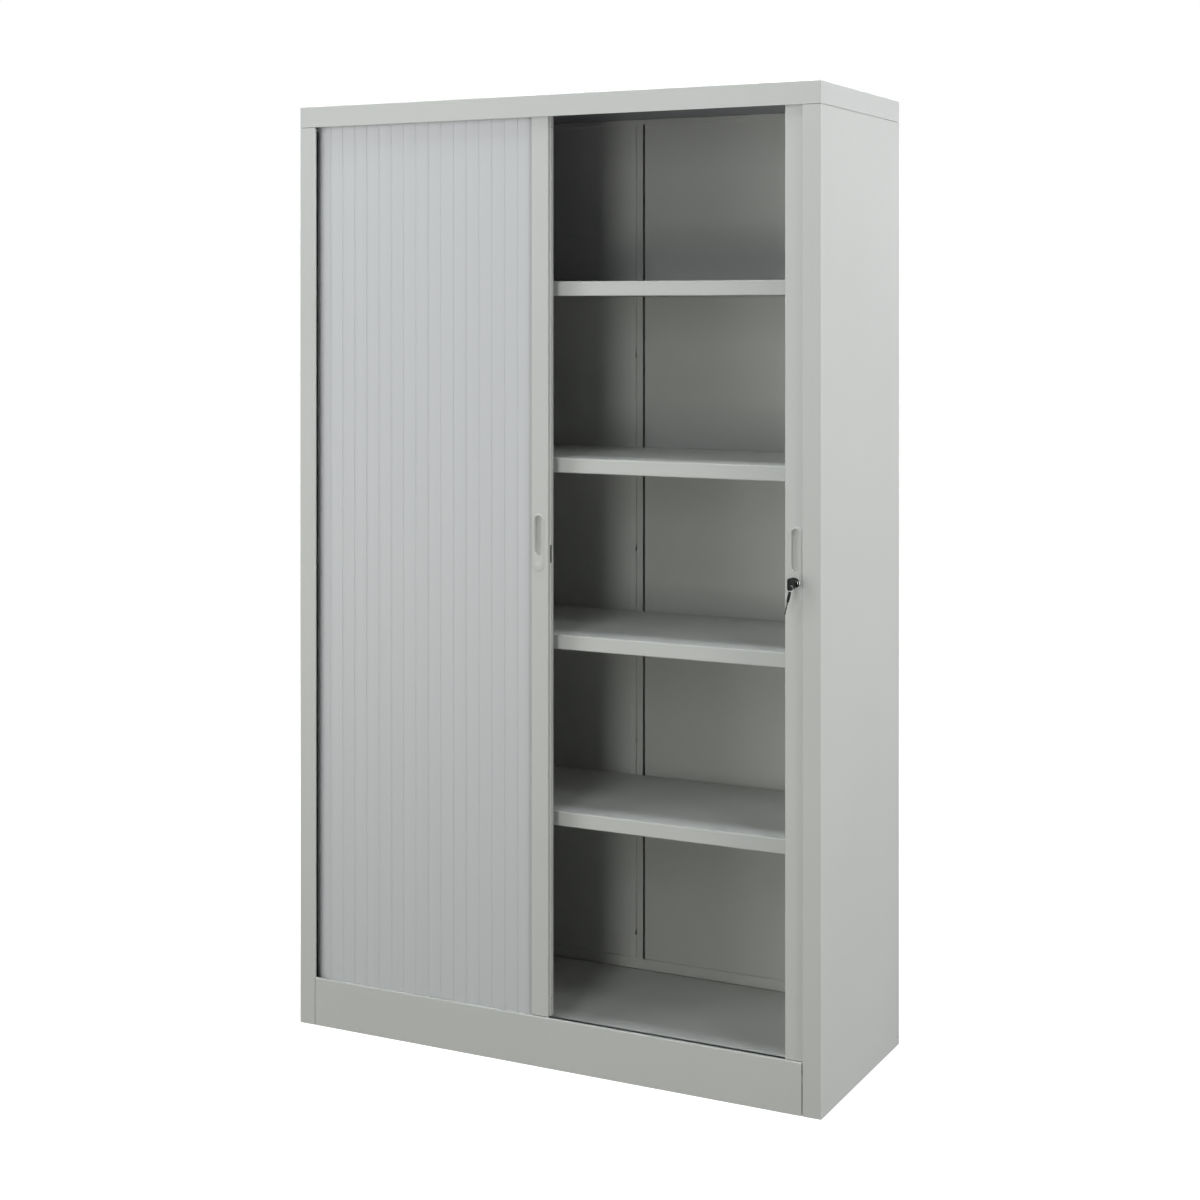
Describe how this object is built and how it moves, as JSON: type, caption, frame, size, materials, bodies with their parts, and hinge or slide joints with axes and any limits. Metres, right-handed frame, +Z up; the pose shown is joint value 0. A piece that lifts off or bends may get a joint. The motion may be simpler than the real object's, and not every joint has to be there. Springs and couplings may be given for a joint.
{
  "type": "tambour door cabinet",
  "caption": "Tall steel storage cabinet with two sliding tambour doors that roll into side pockets, a hook lock and adjustable shelves.",
  "frame": {"origin": "on the floor, in the middle of the cabinet's footprint", "axes": "+Z up, +X to the right as seen from the front, front facing -Y"},
  "size_m": [1.2, 0.4946, 1.98],
  "materials": {
    "painted_steel": "satin powder coat",
    "galvanised_steel": "satin",
    "zinc_steel": "bright zinc",
    "slat_plastic": "fine satin",
    "pull_plastic": "satin",
    "black_plastic": "satin",
    "chrome": "polished",
    "key_metal": "nickel blade with a black moulded head"
  },
  "bodies": {
    "carcass": {"top_cap": "painted_steel", "ceiling_panel": "painted_steel", "left_side_panel": "painted_steel", "right_side_panel": "painted_steel", "plinth_front": "painted_steel", "left_liner": "painted_steel", "right_liner": "painted_steel", "floor_panel": "painted_steel", "rear_bottom_rail": "painted_steel", "rear_top_rail": "painted_steel", "left_rear_post": "painted_steel", "right_rear_post": "painted_steel", "left_inner_back": "painted_steel", "right_inner_back": "painted_steel", "outer_back": "painted_steel", "shelf_1": "painted_steel", "shelf_2": "painted_steel", "shelf_3": "painted_steel", "shelf_4": "painted_steel", "base_frame": "galvanised_steel", "base_deck": "galvanised_steel", "foot_nuts": "zinc_steel", "shelf_clips": "zinc_steel", "left_slats": "slat_plastic", "right_slats": "slat_plastic", "left_bottom_track": "black_plastic", "right_bottom_track": "black_plastic", "left_top_track": "black_plastic", "right_top_track": "black_plastic", "centre_stops": "black_plastic"},
    "left_door": {"left_handle_rail": "painted_steel", "left_glides": "black_plastic", "left_finger_pull": "pull_plastic", "lock_blank": "pull_plastic"},
    "right_door": {"right_handle_rail": "painted_steel", "right_glides": "black_plastic", "right_finger_pull": "pull_plastic", "lock_housing": "chrome"},
    "lock_plug": {"lock_plug": "chrome", "lock_hook": "zinc_steel", "hook_screw": "zinc_steel"},
    "key": {"key": "key_metal"},
    "spare_key": {"key_ring": "zinc_steel", "spare_key": "key_metal"},
    "foot_front_left": {"foot_front_left": "black_plastic"},
    "foot_front_right": {"foot_front_right": "black_plastic"},
    "foot_rear_left": {"foot_rear_left": "black_plastic"},
    "foot_rear_right": {"foot_rear_right": "black_plastic"}
  },
  "joints": [
    {"name": "left_door_slide", "type": "slide", "parent": "carcass", "child": "left_door", "axis": [-1, 0, 0], "range_m": [0, 0.5315], "deforming": ["left_slats"]},
    {"name": "right_door_slide", "type": "slide", "parent": "carcass", "child": "right_door", "axis": [-1, 0, 0], "range_m": [0, 0.513], "deforming": ["right_slats"]},
    {"name": "lock_turn", "type": "hinge", "parent": "right_door", "child": "lock_plug", "pos_m": [0.5458, -0.2156, 1.0185], "axis": [0, -1, 0], "range_deg": [0, 70]},
    {"name": "key_slide", "type": "slide", "parent": "lock_plug", "child": "key", "axis": [0, -1, 0], "range_m": [0, 0.012]},
    {"name": "spare_key_swing", "type": "hinge", "parent": "key", "child": "spare_key", "pos_m": [0.5458, -0.257, 1.0176], "axis": [1, 0, 0], "range_deg": [-60, 5]},
    {"name": "foot_front_left_screw", "type": "slide", "parent": "carcass", "child": "foot_front_left", "axis": [0, 0, -1], "range_m": [0, 0.015]},
    {"name": "foot_front_right_screw", "type": "slide", "parent": "carcass", "child": "foot_front_right", "axis": [0, 0, -1], "range_m": [0, 0.015]},
    {"name": "foot_rear_left_screw", "type": "slide", "parent": "carcass", "child": "foot_rear_left", "axis": [0, 0, -1], "range_m": [0, 0.015]},
    {"name": "foot_rear_right_screw", "type": "slide", "parent": "carcass", "child": "foot_rear_right", "axis": [0, 0, -1], "range_m": [0, 0.015]}
  ]
}
